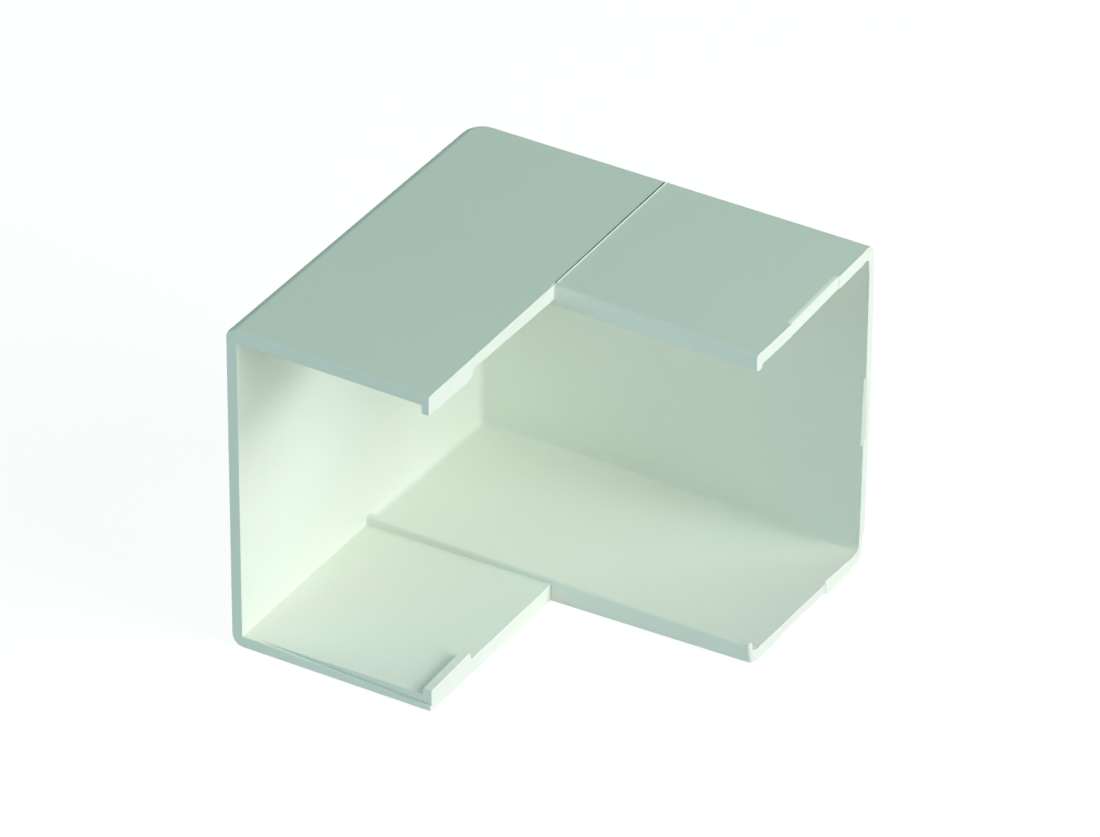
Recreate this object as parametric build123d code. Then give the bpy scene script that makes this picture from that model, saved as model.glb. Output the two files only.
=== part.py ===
"""External corner for small rectangular cable trunking, moulded in one piece.

Two short legs meet at a right angle and wrap round the outside corner of a wall.
Each leg is a channel: an outer wall and two plates, open towards the wall, with lips
inside the plates' free edges. The left leg runs towards -Y and the right leg towards +X.
Sizes are in millimetres. While it is modelled, the outer faces of the two walls are
x = 0 and y = 0, and the underside is z = 0.
"""
from build123d import *
import os

# Outside sizes
height = 43.5
depth = 26.9
left_reach = 26.8
right_reach = 26.8
edge_round = 1.5
plan_round = 3.0

# The plates lean towards each other at the free corner of each leg
left_toe = 0.5
right_toe = 0.8

# Wall and plate thicknesses, thinner at the mouth of each leg, where the cores leave
left_wall_mouth = 1.5
left_wall_corner = 1.9
back_wall_mouth = 1.15
back_wall_corner = 1.5
plate_root_mouth = 1.55
plate_root_corner = 1.85
plate_edge_mouth = 2.2
plate_edge_corner = 2.3
inner_round = 0.7

# Lips: a rib along the whole right leg, and a short lip at the mouth of the left leg
lip_height = 3.0
rib_thickness = 1.2
rib_chamfer = 0.35
lip_thickness = 0.95
lip_length = 9.3
lip_end_slope = 0.5
right_lip_round = 0.45

# Fine marks that the mould and the saw left
flash_width = 0.3
flash_height = 0.13
witness_depth = 0.15
witness_drop = 0.75
mouth_round = 0.3
end_bevel_run = 1.4
end_bevel_run_back = 0.5
end_bevel_drop = 0.5
end_bevel_drop_back = 0.25

# The sawn end of the right leg: how far it stands past the leg's nominal length, at
# shares of the way from the outer wall to the free edge, or from the bottom to the top
top_cut = ((0, 0.0), (0.09, 0.0), (0.097, 0.25), (0.35, 0.28), (0.357, -0.02), (0.725, -0.06),
           (0.736, 0.06), (0.874, -0.06), (1, -0.16))
bottom_cut = ((0, -0.2), (0.074, 0.0), (0.327, 0.16), (0.342, -0.2), (0.454, -0.18), (0.513, 0.0),
              (0.751, 0.25), (1, 0.12))
wall_cut = ((0, -0.2), (0.386, -0.12), (0.398, 0.1), (1, 0.1))
cut_allowance = 0.5

# How far cutting shapes run past the solid, and the tolerance for picking its edges
spare = 3.0
near = 0.01

left_length = depth + left_reach
right_length = depth + right_reach


def closed_face(points):
    """A flat face with straight sides through the points."""
    return make_face(Polyline(*points, close=True))


def mirrored_in_height(points):
    """The points, then their mirror images in the fitting's middle plane."""
    return list(points) + [(u, height - v) for u, v in reversed(points)]


def left_outside(toe):
    """Outline across the left leg: x to the right, z up."""
    face = closed_face([(0, 0), (depth, toe), (depth, height - toe), (0, height)])
    wall_corners = face.vertices().group_by(Axis.X)[0]
    return fillet(wall_corners, edge_round)


def right_outside(toe):
    """Outline across the right leg: y to the right, z up. Its free upper edge is rounded."""
    face = closed_face([(0, 0), (0, height), (-depth, height - toe), (-depth, toe)])
    face = fillet(face.vertices().group_by(Axis.X)[-1], edge_round)
    free_top = face.vertices().group_by(Axis.X)[0].sort_by(Axis.Y)[-1]
    return fillet(free_top, right_lip_round)


def corner_block():
    """The solid block at the outer corner, rounded in plan and along its outer edges."""
    block = Pos(depth / 2, -depth / 2, height / 2) * Box(depth, depth, height)
    upright = block.edges().filter_by(Axis.Z).sort_by(Axis.X)[:2].sort_by(Axis.Y)[-1]
    block = fillet(upright, plan_round)
    rims = block.edges().group_by(Axis.Z)[0] + block.edges().group_by(Axis.Z)[-1]
    outer = [
        edge for edge in rims
        if edge.center().X < depth - near and edge.center().Y > near - depth
    ]
    return fillet(outer, edge_round)


def outside_solid():
    """Corner block and both legs, with no hollow yet."""
    left_leg = loft(
        [
            Plane.XZ.offset(depth) * left_outside(0),
            Plane.XZ.offset(left_length) * left_outside(left_toe),
        ],
        ruled=True,
    )
    right_leg = loft(
        [
            Plane.YZ.offset(depth) * right_outside(0),
            Plane.YZ.offset(right_length + cut_allowance) * right_outside(right_toe),
        ],
        ruled=True,
    )
    return corner_block() + left_leg + right_leg


def left_hollow_section(wall, root, edge):
    """Opening across the left leg, from its wall to past its free edges."""
    rise = (edge - root) / (depth - wall)
    past_edge = edge + rise * spare
    return closed_face(mirrored_in_height([(wall, root), (depth + spare, past_edge)]))


def left_hollow():
    """Hollow of the left leg, from its mouth to the rib at the corner."""
    share = left_reach / left_length
    wall_at_rib = left_wall_mouth + (left_wall_corner - left_wall_mouth) * share
    return loft(
        [
            Plane.XZ.offset(depth) * left_hollow_section(
                wall_at_rib, plate_root_corner, plate_edge_corner),
            Plane.XZ.offset(left_length) * left_hollow_section(
                left_wall_mouth, plate_root_mouth, plate_edge_mouth),
        ],
        ruled=True,
    )


def right_hollow_section(wall, root, edge):
    """Opening across the right leg, with the rib that stands inside each free edge."""
    rib_back = rib_thickness - depth
    points = [
        (-wall, root),
        (rib_back, edge),
        (rib_back, lip_height - rib_chamfer),
        (rib_back - rib_chamfer, lip_height),
        (-depth - spare, lip_height),
    ]
    return closed_face(mirrored_in_height(points))


def right_hollow():
    """Hollow of the corner and the right leg, with softened inner corners.

    It starts inside the left leg's wall, which is then taken off its near end.
    """
    start = left_wall_mouth / 2
    hollow = loft(
        [
            Plane.YZ.offset(start) * right_hollow_section(
                back_wall_corner, plate_root_corner, plate_edge_corner),
            Plane.YZ.offset(right_length + cut_allowance) * right_hollow_section(
                back_wall_mouth, plate_root_mouth, plate_edge_mouth),
        ],
        ruled=True,
    )
    share = (left_reach - spare) / left_length
    wall_past_rib = left_wall_mouth + (left_wall_corner - left_wall_mouth) * share
    wall_plan = closed_face(
        [
            (0, spare),
            (left_wall_corner, 0),
            (wall_past_rib, -depth - spare),
            (0, -depth - spare),
        ]
    )
    hollow -= extrude(wall_plan, height)
    wall_face = hollow.faces().sort_by(Axis.X)[0]
    back_face = hollow.faces().sort_by(Axis.Y)[-1]
    corner_edges = [
        edge for edge in wall_face.edges() + back_face.edges()
        if edge.length > depth / 2
        and edge.center().Y > near - depth
        and edge.center().X < right_length
    ]
    return fillet(corner_edges, inner_round)


def left_lips():
    """Short lips inside the free edges at the mouth of the left leg."""
    lip_foot = plate_edge_mouth - edge_round / 2
    side = closed_face(
        [
            (-left_length, lip_foot),
            (-left_length, lip_height),
            (-left_length + lip_length - lip_end_slope, lip_height),
            (-left_length + lip_length, lip_foot),
        ]
    )
    low = Plane.YZ.offset(depth - lip_thickness) * side
    lower = extrude(low, lip_thickness)
    upper = mirror(lower, Plane.XY.offset(height / 2))
    return lower + upper


def flash_line():
    """Thin ridge of flash across the top, in line with the left leg's free edge."""
    ridge = closed_face(
        [
            (depth - flash_width / 2, height - flash_height),
            (depth + flash_width / 2, height - flash_height),
            (depth + flash_width / 2, height),
            (depth, height + flash_height),
            (depth - flash_width / 2, height),
        ]
    )
    return extrude(Plane.XZ.offset(edge_round) * ridge, depth - edge_round - right_lip_round)


def witness_step():
    """Shallow step on the end of the lower plate at the left leg's mouth."""
    face = closed_face(
        [
            (left_wall_mouth, plate_root_mouth),
            (depth + spare, plate_root_mouth - witness_drop),
            (depth + spare, lip_height + spare),
            (left_wall_mouth, lip_height + spare),
        ]
    )
    return extrude(Plane.XZ.offset(left_length - witness_depth) * face, spare)


def saw_waste(cut, width, plane, low, high):
    """What the saw took off one side of the right leg's end, a side of the given width."""
    reach = right_length + spare
    line = [(right_length + past, share * width) for share, past in cut]
    outline = [(reach, -spare), (line[0][0], -spare)]
    outline += line
    outline += [(line[-1][0], width + spare), (reach, width + spare)]
    return extrude(plane.offset(low) * closed_face(outline), high - low)


def end_bevel():
    """Bevel along the inside of the lower plate at the sawn end."""
    level = plate_edge_mouth
    free = closed_face(
        [
            (right_length - end_bevel_run, level),
            (right_length + spare, level),
            (right_length + spare, level - end_bevel_drop * (1 + spare / end_bevel_run)),
        ]
    )
    root = plate_root_mouth
    back = closed_face(
        [
            (right_length - end_bevel_run_back, root),
            (right_length + spare, root),
            (right_length + spare, root - end_bevel_drop_back * (1 + spare / end_bevel_run_back)),
        ]
    )
    return loft(
        [
            Plane.XZ.offset(back_wall_mouth) * back,
            Plane.XZ.offset(depth - rib_thickness) * free,
        ],
        ruled=True,
    )


def sawn_end(solid):
    """The solid with the right leg's end sawn rough: top plate, wall, bottom plate."""
    plan_from_wall = Plane(origin=(0, 0, 0), x_dir=(1, 0, 0), z_dir=(0, 0, -1))
    upright = Plane.XZ
    zone = lip_height + rib_chamfer
    solid -= saw_waste(top_cut, depth, plan_from_wall, -height - spare, zone - height)
    solid -= saw_waste(bottom_cut, depth, plan_from_wall, -zone, spare)
    between_plates = Pos(right_length, -depth / 2, height / 2) * Box(
        4 * spare, 2 * depth, height - 2 * zone)
    solid -= saw_waste(wall_cut, height, upright, -spare, depth + spare) & between_plates
    return solid


def soft_mouth(solid):
    """The solid with the top edge of the left leg's mouth rounded."""
    mouth = solid.faces().sort_by(Axis.Y)[0]
    outline = mouth.outer_wire().edges().filter_by(GeomType.LINE)
    top_edge = outline.sort_by(Axis.Z)[-1]
    return fillet(top_edge, mouth_round)


def corner_fitting():
    """The whole fitting, with its origin under the middle of its outside box."""
    solid = outside_solid() - left_hollow() - right_hollow()
    solid += left_lips()
    solid += flash_line()
    solid -= witness_step()
    solid -= end_bevel()
    solid = sawn_end(solid)
    solid = soft_mouth(solid)
    box = solid.bounding_box()
    centre = box.center()
    return Pos(-centre.X, -centre.Y, -box.min.Z) * solid


os.makedirs("parts", exist_ok=True)
fitting = corner_fitting()
export_step(fitting, "parts/corner_fitting.step")
print("solids", len(fitting.solids()), "volume mm3", round(fitting.volume, 1), "valid", fitting.is_valid)
print("box", fitting.bounding_box())
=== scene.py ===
# %% [markdown]
# This lesson models one small thing: the outside corner of a run of cable trunking. The
# real one is a single white plastic moulding, two channels that meet at a right angle and
# wrap round the corner of a wall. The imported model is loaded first. It fixes the size and
# the place of everything that follows, in metres.

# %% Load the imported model
import math

import bmesh
import bpy
from mathutils import Euler, Matrix, Vector


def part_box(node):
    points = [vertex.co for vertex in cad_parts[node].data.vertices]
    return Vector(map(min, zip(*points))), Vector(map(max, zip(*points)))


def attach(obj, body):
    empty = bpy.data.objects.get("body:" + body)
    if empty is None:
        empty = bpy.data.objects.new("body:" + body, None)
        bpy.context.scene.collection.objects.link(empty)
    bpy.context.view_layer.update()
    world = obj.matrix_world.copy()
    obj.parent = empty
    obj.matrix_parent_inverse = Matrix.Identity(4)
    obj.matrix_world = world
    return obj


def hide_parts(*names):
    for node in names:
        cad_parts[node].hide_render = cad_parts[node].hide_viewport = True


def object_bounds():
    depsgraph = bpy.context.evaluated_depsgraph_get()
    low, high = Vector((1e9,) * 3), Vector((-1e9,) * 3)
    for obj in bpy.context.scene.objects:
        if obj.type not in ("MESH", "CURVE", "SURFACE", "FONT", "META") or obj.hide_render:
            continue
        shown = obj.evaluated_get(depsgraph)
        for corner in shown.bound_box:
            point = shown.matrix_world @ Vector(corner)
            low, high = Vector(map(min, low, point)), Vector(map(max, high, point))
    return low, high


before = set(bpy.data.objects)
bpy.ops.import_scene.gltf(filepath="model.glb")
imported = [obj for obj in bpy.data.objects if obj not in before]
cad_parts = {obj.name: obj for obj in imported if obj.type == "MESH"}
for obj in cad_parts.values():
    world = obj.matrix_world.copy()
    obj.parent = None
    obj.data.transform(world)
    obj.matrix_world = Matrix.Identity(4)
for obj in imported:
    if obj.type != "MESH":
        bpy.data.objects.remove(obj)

model_low, model_high = [list(corner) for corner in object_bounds()]
box_low, box_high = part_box("corner_fitting")
model_size = [round(high - low, 5) for low, high in zip(model_low, model_high)]
print("the packed model measures", model_size)

# %% [markdown]
# A fitting is easiest to describe from its outer corner, so this cell sets up that way of
# measuring. The corner is the origin, x runs along the right leg, y is negative along the
# left leg and z is up, all in millimetres. One function turns such a place into metres in
# the model's frame, and another goes back, which is how edges are picked by their place.

# %% Measure from the outer corner
mm = 0.001
outer_corner = Vector((box_low[0], box_high[1], box_low[2]))


def at(x, y, z):
    """A place in the model's frame, from millimetres measured at the outer corner."""
    return outer_corner + Vector((x, y, z)) * mm


def measured(place):
    """Millimetres from the outer corner for a place in the model's frame."""
    return (place - outer_corner) / mm


print("the outer corner is at", [round(value, 5) for value in outer_corner])

# %% [markdown]
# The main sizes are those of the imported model, and a few thicknesses differ from it by a
# tenth or two. A thin wall is the rule in injection moulding, about 1.5 mm here, and every
# wall tapers a little so that the steel core can be pulled out. The legs also lean in at
# their free corners, as cooling plastic does. A plate's root is where it meets its wall,
# and its edge is its free side. A cutting shape runs past the piece by the spare length,
# and a point counts as on a line or plane when it is as near as the last value says.

# %% Sizes in millimetres
height = 43.5
depth = 26.9
left_length = 53.7
right_length = 53.7
edge_round = 1.5
plan_round = 3.0
left_toe = 0.5
left_toe_below = 0.25
right_toe = 0.8
left_wall_mouth = 1.5
left_wall_corner = 1.8
back_wall_mouth = 1.15
back_wall_corner = 1.5
plate_root_mouth = 1.55
plate_root_step = 1.6
plate_root_corner = 1.85
plate_edge_mouth = 2.2
plate_edge_corner = 2.3
plate_edge_above = 2.0
plate_root_above_mouth = 1.8
plate_edge_above_mouth = 1.86
plate_edge_sawn = 2.45
spare = 3.0
near = 0.02
print("outside", right_length, "by", left_length, "by", height, "mm")

# %% [markdown]
# Blender's operators act on whatever is selected, so a slip here spoils the next step.
# These helpers keep the selection tidy: one leaves only the named pieces selected, and the
# other opens a piece in edit mode with just the edges that pass a test.

# %% Helpers for selecting


def alone(*pieces):
    """Selects only these pieces and makes the first one active."""
    bpy.ops.object.select_all(action="DESELECT")
    for piece in pieces:
        piece.select_set(True)
    bpy.context.view_layer.objects.active = pieces[0]


def edit_edges(piece, wanted):
    """Opens the piece in edit mode with only the wanted edges selected, and counts them."""
    alone(piece)
    bpy.ops.object.mode_set(mode="EDIT")
    bpy.ops.mesh.select_mode(type="EDGE")
    bpy.ops.mesh.select_all(action="DESELECT")
    shape = bmesh.from_edit_mesh(piece.data)
    count = 0
    for edge in shape.edges:
        first, second = [measured(vertex.co) for vertex in edge.verts]
        if wanted(first, second):
            edge.select_set(True)
            count += 1
    bmesh.update_edit_mesh(piece.data)
    return count


def round_edges(piece, radius, segments, wanted):
    """Rounds the wanted edges to a radius in millimetres."""
    count = edit_edges(piece, wanted)
    bpy.ops.mesh.bevel(offset=radius * mm, segments=segments, profile=0.5, affect="EDGES")
    bpy.ops.object.mode_set(mode="OBJECT")
    print("rounded", count, "edges of", piece.name, "to", radius, "mm")


# %% [markdown]
# Nearly every form on a moulding is a flat outline pushed through the material, often with
# a slightly different outline at the far end, which is the draft. So one helper makes them
# all: a circle with as many points as the outline, its points put in place, then the face
# extruded and the far end's points put in place too, once for each further outline.

# %% A solid through outlines


def lofted(name, *outlines):
    """A closed solid through outlines with the same number of points."""
    corners = len(outlines[0])
    bpy.ops.object.select_all(action="DESELECT")
    bpy.ops.mesh.primitive_circle_add(
        vertices=corners, radius=mm, fill_type="NGON", location=(0, 0, 0))
    piece = bpy.context.object
    piece.name = name
    for vertex, place in zip(piece.data.vertices, outlines[0]):
        vertex.co = place
    bpy.ops.object.mode_set(mode="EDIT")
    bpy.ops.mesh.select_all(action="SELECT")
    bpy.ops.object.mode_set(mode="OBJECT")
    for before, after in zip(outlines, outlines[1:]):
        step = after[0] - before[0]
        bpy.ops.object.mode_set(mode="EDIT")
        bpy.ops.mesh.extrude_region_move(TRANSFORM_OT_translate={"value": step})
        bpy.ops.object.mode_set(mode="OBJECT")
        moved = [vertex for vertex in piece.data.vertices if vertex.select]
        for vertex in moved:
            twin = min(range(corners), key=lambda i: (before[i] + step - vertex.co).length)
            vertex.co = after[twin]
    bpy.ops.object.mode_set(mode="EDIT")
    bpy.ops.mesh.select_all(action="SELECT")
    bpy.ops.mesh.normals_make_consistent(inside=False)
    bpy.ops.object.mode_set(mode="OBJECT")
    return piece


def combine(piece, other, operation):
    """Cuts the other solid from the piece, or joins it on, and removes the other."""
    alone(piece)
    step = piece.modifiers.new(operation.lower(), "BOOLEAN")
    step.operation = operation
    step.object = other
    step.solver = "EXACT"
    bpy.ops.object.modifier_apply(modifier=step.name)
    bpy.data.objects.remove(other)
    print(operation.lower(), "leaves", piece.name, "with", len(piece.data.polygons), "faces")


# %% [markdown]
# The outside of the fitting is an L in plan, as high as the trunking. The L is extruded
# straight up, with the right leg a little too long, because it is sawn later. Bisecting it
# across both legs then gives the plates some rows of faces, which the lean will need,
# because a single large face can't bend.

# %% The outside form
cut_allowance = 0.5
blank_length = right_length + cut_allowance
rows = 4

plan = [
    (0, 0),
    (blank_length, 0),
    (blank_length, -depth),
    (depth, -depth),
    (depth, -left_length),
    (0, -left_length),
]
body = lofted(
    "corner_moulding",
    [at(x, y, 0) for x, y in plan],
    [at(x, y, height) for x, y in plan],
)


def bisect(piece, place, normal):
    """Cuts a line of new edges round the piece where a plane meets it."""
    alone(piece)
    bpy.ops.object.mode_set(mode="EDIT")
    bpy.ops.mesh.select_all(action="SELECT")
    bpy.ops.mesh.bisect(plane_co=place, plane_no=normal)
    bpy.ops.object.mode_set(mode="OBJECT")


for row in range(rows):
    share = row / rows
    along_left = -depth - share * (left_length - depth)
    along_right = depth + share * (blank_length - depth)
    bisect(body, at(0, along_left, 0), (0, 1, 0))
    bisect(body, at(along_right, 0, 0), (1, 0, 0))
print(body.name, "starts with", len(body.data.polygons), "faces")

# %% [markdown]
# Moulded corners are never sharp. The upright outer corner is rounded first, with the
# larger radius, and then the long edges above and below, so that the second round follows
# the first round it in one sweep. The free edges towards the wall stay sharp.

# %% Round the outside


def on_outer_line(place):
    """True for a point on the outline that faces away from the wall."""
    on_side = abs(place.x) < near or abs(place.y) < near
    from_centre = math.hypot(place.x - plan_round, place.y + plan_round)
    in_round = place.x < plan_round and place.y > -plan_round
    return on_side or (in_round and abs(from_centre - plan_round) < near)


def is_upright(first, second):
    """The upright edge at the outer corner."""
    return first.xy.length < near and second.xy.length < near


def is_rim(first, second):
    """An edge of the top or the underside, on the outer line."""
    level = abs(first.z - second.z) < near
    at_end = abs(first.z) < near or abs(first.z - height) < near
    return level and at_end and on_outer_line(first) and on_outer_line(second)


round_edges(body, plan_round, segments=10, wanted=is_upright)
round_edges(body, edge_round, segments=7, wanted=is_rim)

# %% [markdown]
# Two edges are softer than the rest on the real fitting: the outer rim of the left leg's
# mouth, and the top of the right leg along its free side. Only these get a round of their
# own. The lean of the plates comes after it, as a small move of every point in proportion
# to its place, so the rounds lean with the plates.

# %% Soften two edges and lean the plates
mouth_round = 0.3
right_lip_round = 0.45


def is_mouth_rim(first, second):
    """The outer rim of the left leg's mouth, apart from its free side."""
    at_mouth = abs(first.y + left_length) < near and abs(second.y + left_length) < near
    free_side = abs(first.x - depth) < near and abs(second.x - depth) < near
    return at_mouth and not free_side


def is_right_top(first, second):
    """The top edge of the right leg along its free side."""
    on_edge = all(
        abs(place.y + depth) < near and abs(place.z - height) < near
        for place in (first, second)
    )
    return on_edge and min(first.x, second.x) > depth - near


def lean(place):
    """How far a plate has closed in at a place, in millimetres."""
    past_left = max(0, -place.y - depth) / (left_length - depth)
    past_right = max(0, place.x - depth) / (blank_length - depth)
    toe = left_toe if place.z > height / 2 else left_toe_below
    return toe * past_left * place.x / depth + right_toe * past_right * -place.y / depth


round_edges(body, mouth_round, segments=3, wanted=is_mouth_rim)
round_edges(body, right_lip_round, segments=4, wanted=is_right_top)
for vertex in body.data.vertices:
    place = measured(vertex.co)
    towards_middle = 1 - 2 * place.z / height
    vertex.co.z += lean(place) * towards_middle * mm
print("the plates lean in by", left_toe, "and", right_toe, "mm")

# %% [markdown]
# Each leg is hollowed with a solid of its own, the shape of the steel core that formed it.
# The left core is a plain wedge. The right core also leaves the rib that stands inside the
# free edges, so its outline comes in over the rib, past a small chamfer, and goes down the
# rib's rounded front.

# %% Hollow the legs
rib_thickness = 1.2
rib_chamfer = 0.35
rib_round = 0.35
lip_height = 3.0
inner_round = 0.7


def drafted(at_corner, at_mouth, share):
    """A thickness that changes evenly from the corner to the mouth of a leg."""
    return at_corner + (at_mouth - at_corner) * share


def left_wall_at(y):
    """Thickness of the left leg's wall at a place along the leg."""
    return drafted(left_wall_corner, left_wall_mouth, -y / left_length)


def left_core_end(y):
    """Outline of the left core at a place along the leg."""
    share = (-y - depth) / (left_length - depth)
    wall = left_wall_at(y)
    root_below = drafted(plate_root_corner, plate_root_step, share)
    root_above = drafted(plate_root_corner, plate_root_above_mouth, share)
    edge_below = drafted(plate_edge_corner, plate_edge_mouth, share)
    edge_above = drafted(plate_edge_above, plate_edge_above_mouth, share)
    past = spare / (depth - wall)
    outline = [
        (wall, root_below),
        (depth + spare, edge_below + (edge_below - root_below) * past),
        (depth + spare, height - edge_above - (edge_above - root_above) * past),
        (wall, height - root_above),
    ]
    return [at(x, y, z) for x, z in outline]


def right_core_end(x_at_y, share):
    """Outline of the right core where its end lies at x_at_y, that share of the way along."""
    wall = drafted(back_wall_corner, back_wall_mouth, share)
    root = drafted(plate_root_corner, plate_root_mouth, share)
    edge = drafted(plate_edge_corner, plate_edge_sawn, share)
    rib_back = rib_thickness - depth
    centre_y = rib_round - depth
    centre_z = lip_height - rib_round
    rib_front = [
        (centre_y - rib_round * math.sin(turn), centre_z + rib_round * math.cos(turn))
        for turn in [math.radians(turn) for turn in (0, 30, 60, 90)]
    ]
    lower = [
        (-wall, root),
        (rib_back, edge),
        (rib_back, lip_height - rib_chamfer),
        (rib_back - rib_chamfer, lip_height),
        *rib_front,
        (-depth - spare, centre_z),
    ]
    upper = [(y, height - z) for y, z in reversed(lower)]
    return [at(x_at_y(y), y, z) for y, z in lower + upper]


past_end = blank_length + spare
left_core = lofted("left_core", left_core_end(-depth), left_core_end(-left_length - spare))
right_core = lofted(
    "right_core",
    right_core_end(left_wall_at, 0),
    right_core_end(lambda y: past_end, past_end / right_length),
)


def is_core_corner(first, second):
    """The right core's long edges that touch the back wall, apart from its far end's."""
    long = (first - second).length > depth / 2
    at_back = max(first.y, second.y) > -2 * back_wall_corner
    at_far_end = min(first.x, second.x) > right_length
    return long and at_back and not at_far_end


round_edges(right_core, inner_round, segments=4, wanted=is_core_corner)
combine(body, left_core, "DIFFERENCE")
combine(body, right_core, "DIFFERENCE")

# %% [markdown]
# At its mouth the left leg has a short lip inside each free edge. It keeps the trunking
# from slipping out sideways. Each is made from its side view. The upper one is turned over
# in the fitting's middle plane, and is a little thinner and straighter than the lower one.

# %% Add the short lips
lip_foot = plate_edge_mouth - edge_round / 2
lower_lip_thickness = 1.1
upper_lip_thickness = 0.98


def lip_view(top_length, foot_length, rise):
    """Side view of a lip: its length at the top and at the foot, and its rise inwards."""
    return [
        (-left_length, lip_foot),
        (-left_length, lip_height),
        (-left_length + top_length, lip_height + rise),
        (-left_length + foot_length, lip_foot),
    ]


lower_view = lip_view(top_length=8.8, foot_length=9.3, rise=0.35)
upper_view = [
    (y, height - z)
    for y, z in lip_view(top_length=9.3, foot_length=9.45, rise=0.06)
]
for name, thickness, view in (
    ("lower_lip", lower_lip_thickness, lower_view),
    ("upper_lip", upper_lip_thickness, upper_view),
):
    lip = lofted(
        name,
        [at(depth - thickness, y, z) for y, z in view],
        [at(depth, y, z) for y, z in view],
    )
    combine(body, lip, "UNION")

# %% [markdown]
# A dead sharp edge never catches the light, and that is what gives a computer model away.
# The Bevel modifier takes less than a tenth of a millimetre off every edge that turns by
# more than the angle, which is about what a polished mould leaves. The faint facets of the
# rounds turn by less, so they aren't touched. Doubled points and needless edges are taken
# out first, because the bevel would stop at them.

# %% Take the sharpness off
sharp_round = 0.07
sharp_angle = math.radians(40)
flat_angle = math.radians(0.05)
merge_distance = 0.002


def tidy(piece, angle):
    """Merges points that coincide and faces that lie in one plane."""
    alone(piece)
    bpy.ops.object.mode_set(mode="EDIT")
    bpy.ops.mesh.select_all(action="SELECT")
    bpy.ops.mesh.remove_doubles(threshold=merge_distance * mm)
    bpy.ops.mesh.dissolve_limited(angle_limit=angle)
    bpy.ops.mesh.select_all(action="SELECT")
    bpy.ops.mesh.normals_make_consistent(inside=False)
    bpy.ops.object.mode_set(mode="OBJECT")
    print(piece.name, "is tidied to", len(piece.data.polygons), "faces")


tidy(body, flat_angle)
alone(body)
softening = body.modifiers.new("soft edges", "BEVEL")
softening.width = sharp_round * mm
softening.segments = 2
softening.limit_method = "ANGLE"
softening.angle_limit = sharp_angle
softening.miter_outer = "MITER_ARC"
bpy.ops.object.modifier_apply(modifier=softening.name)
print("softened", body.name, "has", len(body.data.polygons), "faces")

# %% [markdown]
# The right leg was sawn to length, and not very neatly: the cut wanders by a few tenths of
# a millimetre, isn't quite square and has small steps where the saw was moved. Each plate
# gets a waste solid. Each entry of a cut is a share of the side's width, then how far the
# edge stands past the leg's length there, on the outer face and on the inner face. Between
# the outer and the inner level the waste goes from the one line to the other.

# %% Saw the plates of the right leg
top_cut = (
    (0, -0.1, 0.0), (0.09, 0.0, 0.05), (0.097, 0.03, 0.13), (0.305, 0.02, 0.13),
    (0.312, -0.19, 0.0), (0.712, -0.15, 0.07), (0.722, 0.08, 0.12), (0.874, 0.0, 0.02),
    (1, -0.12, -0.1),
)
bottom_cut = (
    (0, -0.36, -0.36), (0.05, -0.1, -0.1), (0.1, -0.1, -0.02), (0.147, 0.17, -0.08),
    (0.185, 0.12, -0.1), (0.232, 0.16, -0.12), (0.28, 0.25, -0.14), (0.345, 0.2, -0.15),
    (0.357, -0.16, 0.17), (0.41, -0.08, 0.18), (0.46, -0.03, 0.19), (0.507, -0.09, 0.18),
    (0.56, -0.15, 0.17), (0.64, -0.1, 0.2), (0.74, -0.14, 0.27), (0.77, 0.22, 0.27),
    (0.95, 0.27, 0.27), (0.965, 0.22, 0.12), (1, -0.15, -0.4),
)
cut_zone = lip_height + rib_chamfer
outer_level = 0.4
inner_level = 2.0


def waste_line(cut, width, way):
    """Outline of the waste beyond one side of the end, part of the way to its inner face."""
    line = [
        (right_length + outside + (inside - outside) * way, share * width)
        for share, outside, inside in cut
    ]
    reach = blank_length + spare
    start = [(reach, -spare), (line[0][0], -spare)]
    end = [(line[-1][0], width + spare), (reach, width + spare)]
    return start + line + end


def saw_plate(name, cut, height_at):
    """Saws one plate's end, where height_at turns a level above its outer side into a height."""
    sections = [
        [at(x, -across, height_at(level)) for x, across in waste_line(cut, depth, way)]
        for level, way in ((cut_zone, 1), (inner_level, 1), (outer_level, 0), (-spare, 0))
    ]
    combine(body, lofted(name, *sections), "DIFFERENCE")


saw_plate("top_waste", top_cut, lambda level: height - level)
saw_plate("bottom_waste", bottom_cut, lambda level: level)

# %% [markdown]
# The saw took the wall's end at one angle through its whole thickness, so one outline does
# for both faces. It is held between the plates, whose ends are cut already. The lower rib
# broke off a little short of the plate's end, and not quite square either: it stands
# furthest out at the foot of its free side.

# %% Saw the wall and the lower rib
wall_cut = ((0, -0.1, -0.1), (0.386, 0.0, 0.0), (0.398, 0.1, 0.1), (1, 0.1, 0.1))
wall_clear = 0.1
rib_end_back = 0.6
rib_end_level = 2.3
rib_end_low = (0.12, 0)
rib_end_high = (-0.08, -0.13)
rib_margin = 0.1


def rib_waste(stands_past, level):
    """Outline at a level of the waste beyond the lower rib, which ends short of the plate."""
    free_side, inner_side = [right_length - rib_end_back + past for past in stands_past]
    reach = blank_length + spare
    behind = rib_thickness - depth + rib_margin
    corners = [
        (free_side, -depth - spare),
        (reach, -depth - spare),
        (reach, behind),
        (inner_side, behind),
    ]
    return [at(x, y, level) for x, y in corners]


wall_low = lip_height + wall_clear
wall_sections = [
    [
        at(x, y, min(max(z, wall_low), height - wall_low))
        for x, z in waste_line(wall_cut, height, 0)
    ]
    for y in (spare, -depth - spare)
]
combine(body, lofted("wall_waste", *wall_sections), "DIFFERENCE")
combine(body, lofted(
    "rib_waste",
    rib_waste(rib_end_low, rib_end_level),
    rib_waste(rib_end_high, lip_height + spare),
), "DIFFERENCE")

# %% [markdown]
# The saw also left its edges uneven. The top edge is frayed soft between two of the steps,
# and a knife took a sliver off the wall's inner edge in two strokes. Both are thin wedges
# cut away. A stroke is given by its two heights and how far it reaches in at each.

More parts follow.
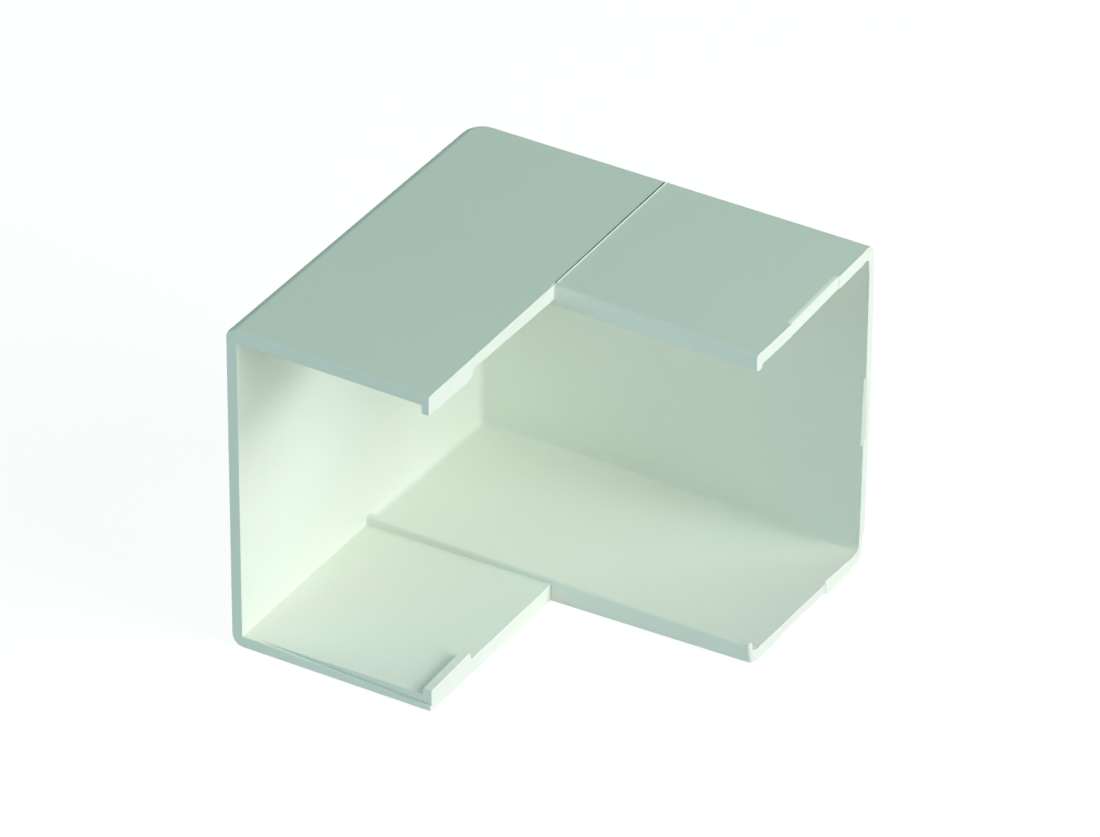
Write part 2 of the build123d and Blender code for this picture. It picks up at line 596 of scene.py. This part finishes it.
# %% Fray and scrape the sawn edges
fray_from = 0.312
fray_to = 0.722
fray_back = 0.17
fray_run = 0.5
fray_margin = 0.1
fray_clear = 0.01
fray_middle = 0.2
fray_middle_drop = 0.06
fray_drop = 0.2
scrapes = ((16.2, 25.6, 0.43, 0.28), (2.6, 16.2, 0.22, 0.08))
scrape_past = 0.1


def top_level(across):
    """Height of the upper plate's outer face at the sawn end."""
    lowered = right_toe * (right_length - depth) / (blank_length - depth)
    return height - lowered * across / depth


def fray_end(share):
    """Outline of what is frayed off the upper plate's end at a share of its width."""
    edge = right_length - fray_back
    start = edge - fray_run - fray_margin
    top = top_level(share * depth)
    corners = [
        (start, top + fray_clear),
        (edge - fray_middle, top - fray_middle_drop),
        (edge, top - fray_drop),
        (edge + spare, top - fray_drop - spare),
        (edge + spare, top + spare),
        (start, top + spare),
    ]
    return [at(x, -share * depth, z) for x, z in corners]


def scrape_end(z, run):
    """Outline of the sliver off the wall's inner edge at a height."""
    end = right_length + scrape_past
    inside = -back_wall_mouth
    corners = [
        (end - run, inside),
        (end - run, inside - spare),
        (end + spare, inside - spare),
        (end + spare, inside + spare + run),
    ]
    return [at(x, y, z) for x, y in corners]


combine(body, lofted("frayed", fray_end(fray_from), fray_end(fray_to)), "DIFFERENCE")
for low, high, low_run, high_run in scrapes:
    scraping = lofted("scraping", scrape_end(low, low_run), scrape_end(high, high_run))
    combine(body, scraping, "DIFFERENCE")

# %% [markdown]
# A bead of melted plastic sits on the end of the lower rib. It starts as a small ball. The
# ball's points are moved so that it is pressed flat and pulled long, then turned and put
# in place, and the ball is joined on.

# %% Add the melted bead
bead_size = (0.3, 0.43, 1.27)
bead_tilt = -7
bead_twist = -45
bead_back = 0.33
bead_inwards = 0.24
bead_level = 1.95

bpy.ops.object.select_all(action="DESELECT")
bpy.ops.mesh.primitive_uv_sphere_add(segments=16, ring_count=10, radius=mm, location=(0, 0, 0))
bead = bpy.context.object
bead.name = "melted_bead"
tilt = Matrix.Rotation(math.radians(bead_tilt), 3, "Y")
twist = Matrix.Rotation(math.radians(bead_twist), 3, "Z")
bead_turn = tilt @ twist
bead_middle = at(right_length - bead_back, bead_inwards - depth, bead_level)
for vertex in bead.data.vertices:
    pressed = Vector([part * size for part, size in zip(vertex.co, bead_size)])
    vertex.co = bead_turn @ pressed + bead_middle
combine(body, bead, "UNION")

# %% [markdown]
# Where two parts of the mould met, a thin gap runs across the top, not quite square, with a
# ridge of flash beside it. Both run onto the rounded edge. The ridge is a thin slab that
# follows the top and the round, joined on. The gap is a V that narrows towards the free
# side, cut out. It bites a few thousandths of a millimetre into the ridge, because two
# faces in exactly one plane would leave the cut open.

# %% Add the flash line
flash_width = 0.12
flash_height = 0.13
flash_sunk = 0.02
flash_root = 0.5
flash_start = 26.775
flash_slant = 0.0071
flash_low_turn = 35
flash_turn_step = 11
gap_width = 0.28
gap_depth = 0.4
gap_narrowing = 0.75
gap_shallowing = 0.5
gap_bite = 0.006
seam_end = right_lip_round - depth


def flash_left(y):
    """Where the ridge begins at a place along the left leg."""
    return flash_start - flash_slant * y


def edge_arc(radius, turns):
    """Points at a radius from the line that the rounded top edge turns about."""
    return [
        (radius * math.cos(turn) - edge_round, height - edge_round + radius * math.sin(turn))
        for turn in turns
    ]


def over_the_edge(offset, above):
    """Outline of a thin slab that follows the top and its rounded edge at some height above."""
    turns = [
        math.radians(turn)
        for turn in range(90, flash_low_turn - 1, -flash_turn_step)
    ]
    free_end = [(seam_end, height - flash_root), (seam_end, height + above)]
    outside = edge_arc(edge_round + above, turns)
    inside = edge_arc(edge_round - flash_root, reversed(turns))
    return [at(flash_left(y) + offset, y, z) for y, z in free_end + outside + inside]


def gap_end(y, width, deep):
    """Outline across the gap beside the ridge."""
    right = flash_left(y) + gap_bite
    left = right - width
    top = height + flash_height + spare
    outline = [
        (left, top),
        (left, height),
        (right - width / 2, height - deep),
        (right, height),
        (right, top),
    ]
    return [at(x, y, z) for x, z in outline]


combine(body, lofted(
    "flash_ridge",
    over_the_edge(0, flash_height),
    over_the_edge(flash_width, -flash_sunk),
), "UNION")
combine(body, lofted(
    "flash_gap",
    gap_end(spare, gap_width, gap_depth),
    gap_end(seam_end, gap_width * gap_narrowing, gap_depth * gap_shallowing),
), "DIFFERENCE")

# %% [markdown]
# The end of the lower plate has a shallow step in the left mouth, where one part of the
# mould stopped short. A fine gap runs along the back of the step's ledge.

# %% Add the step in the left mouth
witness_depth = 0.34
witness_level = 1.7
witness_drop = 0.77
crevice_height = 0.07
crevice_depth = 0.1
crevice_overlap = 0.01


def band_outline(y, low, high):
    """Outline of a band along the step's sloping line, between two rises above the line."""
    far = depth + spare
    corners = [
        (left_wall_mouth, witness_level + low),
        (far, witness_level - witness_drop + low),
        (far, witness_level - witness_drop + high),
        (left_wall_mouth, witness_level + high),
    ]
    return [at(x, y, z) for x, z in corners]


for name, deep, low, high in (
    ("witness_step", witness_depth, 0, 2 * spare),
    ("crevice", witness_depth + crevice_depth, -crevice_overlap, crevice_height),
):
    combine(body, lofted(
        name,
        band_outline(deep - left_length, low, high),
        band_outline(-left_length - spare, low, high),
    ), "DIFFERENCE")

# %% [markdown]
# The upper plate's free side isn't quite parallel to its wall: near the inner corner it
# stands a fifth of a millimetre further out. Its points are moved along the plate, least at
# the mouth, after all the cuts, so that no cut meets a twisted face.

# %% Spread the upper plate
edge_spread = 0.2
edge_band = 0.5
for vertex in body.data.vertices:
    place = measured(vertex.co)
    past_left = (-place.y - depth) / (left_length - depth)
    on_side = abs(place.x - depth) < edge_band and place.y < seam_end + near
    if on_side and place.z > height / 2:
        vertex.co.x += edge_spread * min(1, 1 - past_left) * mm
print("the upper plate's free side stands", edge_spread, "mm further out at the corner")

# %% [markdown]
# Shading comes last in the modelling. Faces that meet at a shallow angle are shaded as one
# smooth surface, and the Weighted Normal modifier then lets the large flat faces decide,
# so that the plates stay flat up to the edge and only the small rounds turn the light.

# %% Smooth shading
tidy(body, flat_angle)
alone(body)
bpy.ops.object.shade_smooth_by_angle(angle=sharp_angle)
weighting = body.modifiers.new("flat faces lead", "WEIGHTED_NORMAL")
weighting.keep_sharp = True
bpy.ops.object.modifier_apply(modifier=weighting.name)
print(body.name, "has", len(body.data.polygons), "faces and sits at", tuple(body.location))

# %% [markdown]
# The material is rigid white plastic with a satin surface. A small class wraps a node's
# output so that sums can be written as in ordinary code, and each sum adds a Math node.
# Colours are mixed with a Mix node, because a Math node would turn them grey.

# %% Write shader sums in Python


class Output:
    """A node's output that takes part in sums: 1 - mask * 0.3 adds its Math nodes."""

    def __init__(self, graph, socket):
        self.graph = graph
        self.socket = socket

    def beside(self, name):
        """Another output of the same node."""
        return Output(self.graph, self.socket.node.outputs[name])

    def sum(self, operation, first, second):
        """The output of a Math node with this operation."""
        return self.graph.add("ShaderNodeMath", {"operation": operation}, {0: first, 1: second})

    def __add__(self, other):
        return self.sum("ADD", self, other)

    def __radd__(self, other):
        return self.sum("ADD", other, self)

    def __sub__(self, other):
        return self.sum("SUBTRACT", self, other)

    def __rsub__(self, other):
        return self.sum("SUBTRACT", other, self)

    def __mul__(self, other):
        return self.sum("MULTIPLY", self, other)

    def __rmul__(self, other):
        return self.sum("MULTIPLY", other, self)

    def between(self, low, high):
        """1 where the value lies between the two limits, else 0."""
        return self.sum("GREATER_THAN", self, low) * self.sum("LESS_THAN", self, high)


class Graph:
    """The nodes of one material."""

    def __init__(self, name):
        self.material = bpy.data.materials.new(name)
        self.material.use_nodes = True
        self.nodes = self.material.node_tree.nodes
        self.links = self.material.node_tree.links
        self.nodes.clear()

    def add(self, kind, settings, inputs, output=0):
        """Adds a node, makes its settings, fills its sockets and returns one output."""
        node = self.nodes.new(kind)
        for name, value in settings.items():
            setattr(node, name, value)
        for name, value in inputs.items():
            if isinstance(value, Output):
                self.links.new(value.socket, node.inputs[name])
            else:
                node.inputs[name].default_value = value
        return Output(self, node.outputs[output]) if len(node.outputs) else node

    def mixed(self, factor, first, second):
        """A colour between two colours."""
        return self.add(
            "ShaderNodeMix",
            {"data_type": "RGBA"},
            {"Factor": factor, 6: first, 7: second},
            output=2,
        )


# %% [markdown]
# Shade is painted into the gap across the top, darker than the groove alone leaves it, and a
# trace of painted shade goes into the inner corner of the lower plate's edge. It could be
# painted on a picture, but both places are known exactly, so a mask is worked out from where
# a point lies: inside all the limits it is 1, else 0.

# %% Where the painted shade lies
# How far below the top the painted shade in the gap across the top reaches, in mm.
gap_shade_top = 0.01
gap_shade_bottom = 0.8
# Limits and strength of the faint painted shade in the lower plate's inner corner, in mm.
corner_shade_half = 0.1
corner_shade_reach = 0.3
corner_shade_low = 0.2
corner_shade_high = 2.2
corner_shade_share = 0.3


def seam_painted_shade(graph, place):
    """1 inside the gap across the top, a share of that in the lower corner, else 0."""
    parts = graph.add("ShaderNodeSeparateXYZ", {}, {0: place})
    x, y, z = [(parts.beside(i) - outer_corner[i]) * (1 / mm) for i in range(3)]
    # The far end of the gap moved out with the plate's free side
    slant = flash_slant + edge_spread / depth
    from_ridge = x - flash_start + y * slant
    # Painted shade fills the gap across the top, down its walls and over the rounded edge.
    across_gap = from_ridge.between(-gap_width, 0)
    in_gap = across_gap * z.between(height - gap_shade_bottom, height - gap_shade_top)
    # Faint painted shade in the lower plate's inner corner, where the corner is in shade.
    at_corner = x.between(depth - corner_shade_half, depth + corner_shade_half)
    at_corner = at_corner * y.between(-depth - corner_shade_reach, -depth)
    at_corner = at_corner * z.between(corner_shade_low, corner_shade_high)
    return in_gap * y.between(seam_end, 0) + at_corner * corner_shade_share


# %% [markdown]
# On the real fitting the white is a little green, not quite even, and dulled by a very
# fine grain from the mould. So the colour drifts between two close shades over a
# centimetre or two, the roughness follows a finer noise, and two bumps shape the surface:
# the grain, and the slow waves of shrinking plastic. Painted shade darkens it in the gap
# across the top, and faintly in the lower inner corner.

# %% The white plastic
plastic_light = (0.953, 0.977, 0.885, 1)
plastic_dark = (0.928, 0.96, 0.856, 1)
# Painted shade: a dark grey laid into the gap across the top, and faintly into the lower inner
# corner.
painted_shade_grey = (0.11, 0.14, 0.125, 1)
drift_size = 14 * mm
grain_size = 0.35 * mm
wave_size = 9 * mm
drift_share = 0.7
grain_share = 0.3
grain_depth = 0.01 * mm
wave_depth = 0.05 * mm
roughness_least = 0.36
roughness_range = 0.12


def noise(graph, coordinates, size, detail):
    """A smooth random pattern whose features are about the given size in metres."""
    return graph.add(
        "ShaderNodeTexNoise",
        {"noise_dimensions": "3D"},
        {"Vector": coordinates, "Scale": 1 / size, "Detail": detail, "Roughness": 0.55},
    )


def make_plastic():
    """Satin white plastic with a fine moulded grain and painted shade in the mould seam."""
    graph = Graph("satin_white_plastic")
    place = graph.add("ShaderNodeTexCoord", {}, {}, output="Object")
    drift = noise(graph, place, drift_size, detail=2)
    grain = noise(graph, place, grain_size, detail=3)
    waves = noise(graph, place, wave_size, detail=1)
    shade = drift * drift_share + grain * grain_share
    unshaded_colour = graph.mixed(shade, plastic_dark, plastic_light)
    # Painted shade darkens the colour in the gap across the top and in the lower inner corner.
    colour = graph.mixed(seam_painted_shade(graph, place), unshaded_colour, painted_shade_grey)
    roughness = roughness_least + grain * roughness_range
    slow = graph.add(
        "ShaderNodeBump",
        {},
        {"Height": waves, "Distance": wave_depth, "Strength": 0.4},
    )
    fine = graph.add(
        "ShaderNodeBump",
        {},
        {"Height": grain, "Distance": grain_depth, "Strength": 0.5, "Normal": slow},
    )
    surface = graph.add(
        "ShaderNodeBsdfPrincipled",
        {},
        {"Base Color": colour, "Roughness": roughness, "Normal": fine, "IOR": 1.53},
    )
    graph.add("ShaderNodeOutputMaterial", {}, {"Surface": surface})
    return graph.material


plastic = make_plastic()
body.data.materials.clear()
body.data.materials.append(plastic)
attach(body, "root")
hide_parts("corner_fitting")
print(body.name, "wears", plastic.name)

# %% [markdown]
# The fitting stands on a wide white table with a low white backdrop round it, for views
# from level with the table. The photograph was taken on pure white, so where the camera
# looks straight at the table it sees white light darkened only by the shadow. The object
# itself is lit by the lamps alone. These sizes are in metres.

# %% The white table
table_half = 3.0
table_below = 0.00005
backdrop_radius = 2.9
backdrop_height = 0.5
plain_matt = (0.8, 0.8, 0.8, 1)
shadow_matt = (0.16, 0.16, 0.16, 1)
glow_white = (1, 1, 1, 1)
glow_strength = 0.93


def make_table_white():
    """Matt white that the camera sees as pure white outside the shadow."""
    graph = Graph("table_white")
    plain = graph.add("ShaderNodeBsdfDiffuse", {}, {"Color": plain_matt})
    faint = graph.add("ShaderNodeBsdfDiffuse", {}, {"Color": shadow_matt})
    glow = graph.add(
        "ShaderNodeEmission", {}, {"Color": glow_white, "Strength": glow_strength})
    bright = graph.add("ShaderNodeAddShader", {}, {0: faint, 1: glow})
    rays = graph.add("ShaderNodeLightPath", {}, {})
    camera_or_glossy = rays.beside("Is Camera Ray") + rays.beside("Is Glossy Ray")
    seen = graph.add(
        "ShaderNodeMath",
        {"operation": "ADD", "use_clamp": True},
        {0: camera_or_glossy, 1: rays.beside("Is Transmission Ray")},
    )
    mix = graph.add("ShaderNodeMixShader", {}, {0: seen, 1: plain, 2: bright})
    graph.add("ShaderNodeOutputMaterial", {}, {"Surface": mix})
    return graph.material


bpy.ops.object.select_all(action="DESELECT")
bpy.ops.mesh.primitive_plane_add(size=2 * table_half, location=(0, 0, -table_below))
table = bpy.context.object
table.name = "table"
bpy.ops.mesh.primitive_cylinder_add(
    vertices=96,
    radius=backdrop_radius,
    depth=backdrop_height,
    end_fill_type="NOTHING",
    location=(0, 0, backdrop_height / 2),
)
backdrop = bpy.context.object
backdrop.name = "backdrop"
table_white = make_table_white()
for stand in (table, backdrop):
    stand.data.materials.append(table_white)
print("the table is", 2 * table_half, "m wide, and the backdrop", backdrop_height, "m high")

# %% [markdown]
# The light comes mostly from the right, from three panels that reach from low down to a
# little behind the fitting. It skims the top, floods the inside of the left wall, and makes
# the sawn end the brightest part. Two cool panels fill the front and the left, and a faint
# greenish one behind stands for what a studio's walls return. The world itself is black.

# %% Lamps and surroundings
lamp_distance = 1.2
key_white = (0.94, 1.0, 0.995)
fill_blue = (0.578, 0.945, 1.0)
back_green = (0.3, 1.0, 0.62)


def panel(name, azimuth, elevation, size, watts, colour):
    """A square lamp that points at the fitting, placed by the direction it shines from."""
    bpy.ops.object.select_all(action="DESELECT")
    bpy.ops.object.light_add(type="AREA", location=(0, 0, 0))
    lamp = bpy.context.object
    lamp.name = name
    lamp.data.shape = "SQUARE"
    lamp.data.size = size
    lamp.data.energy = watts
    lamp.data.color = colour
    turn = Euler((math.radians(90 - elevation), 0, math.radians(azimuth)))
    middle = Vector((0, 0, height / 2 * mm))
    lamp.rotation_euler = turn
    lamp.location = middle + turn.to_matrix() @ Vector((0, 0, lamp_distance))


panel("low_key", azimuth=80, elevation=19, size=0.45, watts=4.69, colour=key_white)
panel("high_key", azimuth=95, elevation=32, size=0.45, watts=3.97, colour=key_white)
panel("rear_key", azimuth=110, elevation=35, size=0.6, watts=3.1, colour=key_white)
panel("front_fill", azimuth=10, elevation=20, size=0.6, watts=1.4, colour=fill_blue)
panel("left_fill", azimuth=-45, elevation=25, size=0.8, watts=4.17, colour=fill_blue)
panel("back_fill", azimuth=200, elevation=30, size=0.8, watts=1.68, colour=back_green)

world = bpy.data.worlds.new("studio")
world.use_nodes = True
world_light = world.node_tree.nodes["Background"]
world_light.inputs["Color"].default_value = (0, 0, 0, 1)
world_light.inputs["Strength"].default_value = 0
bpy.context.scene.world = world

# %% [markdown]
# The camera is a long lens from nearly a metre away, above and to the right of the left
# leg's mouth. Its place was worked out from the directions in which the fitting's edges
# run in the photograph. A camera looks along its own downward axis, so it is turned up
# from the floor by its elevation, round by its azimuth, and rolled by a third of a degree.
# It then stands back from the outer corner, a little up and to the right in its own view.

# %% The camera
camera_azimuth = 30.703
camera_elevation = 33.108
camera_roll = 0.35
camera_distance = 937.4
camera_right = 9.18
camera_up = 1.0
camera_lens = 254.81

camera_data = bpy.data.cameras.new("camera")
camera_data.sensor_fit = "HORIZONTAL"
camera_data.sensor_width = 36
camera_data.lens = camera_lens
camera_data.clip_start = 0.05
camera_data.clip_end = 20
camera = bpy.data.objects.new("camera", camera_data)
bpy.context.collection.objects.link(camera)
turn = Euler((math.radians(90 - camera_elevation), 0, math.radians(camera_azimuth))).to_matrix()
turn = turn @ Matrix.Rotation(math.radians(camera_roll), 3, "Z")
from_corner = turn @ Vector((camera_right, camera_up, camera_distance))
camera.location = at(*from_corner)
camera.rotation_euler = turn.to_euler()
bpy.context.scene.camera = camera
print("the camera stands at", [round(value, 3) for value in camera.location])

# %% [markdown]
# The last cell sets the plain colour view, in which a colour renders as it is written,
# and prints the imported model's box.

# %% Finish
scene = bpy.context.scene
scene.view_settings.view_transform = "Standard"
print("model", model_low, model_high)
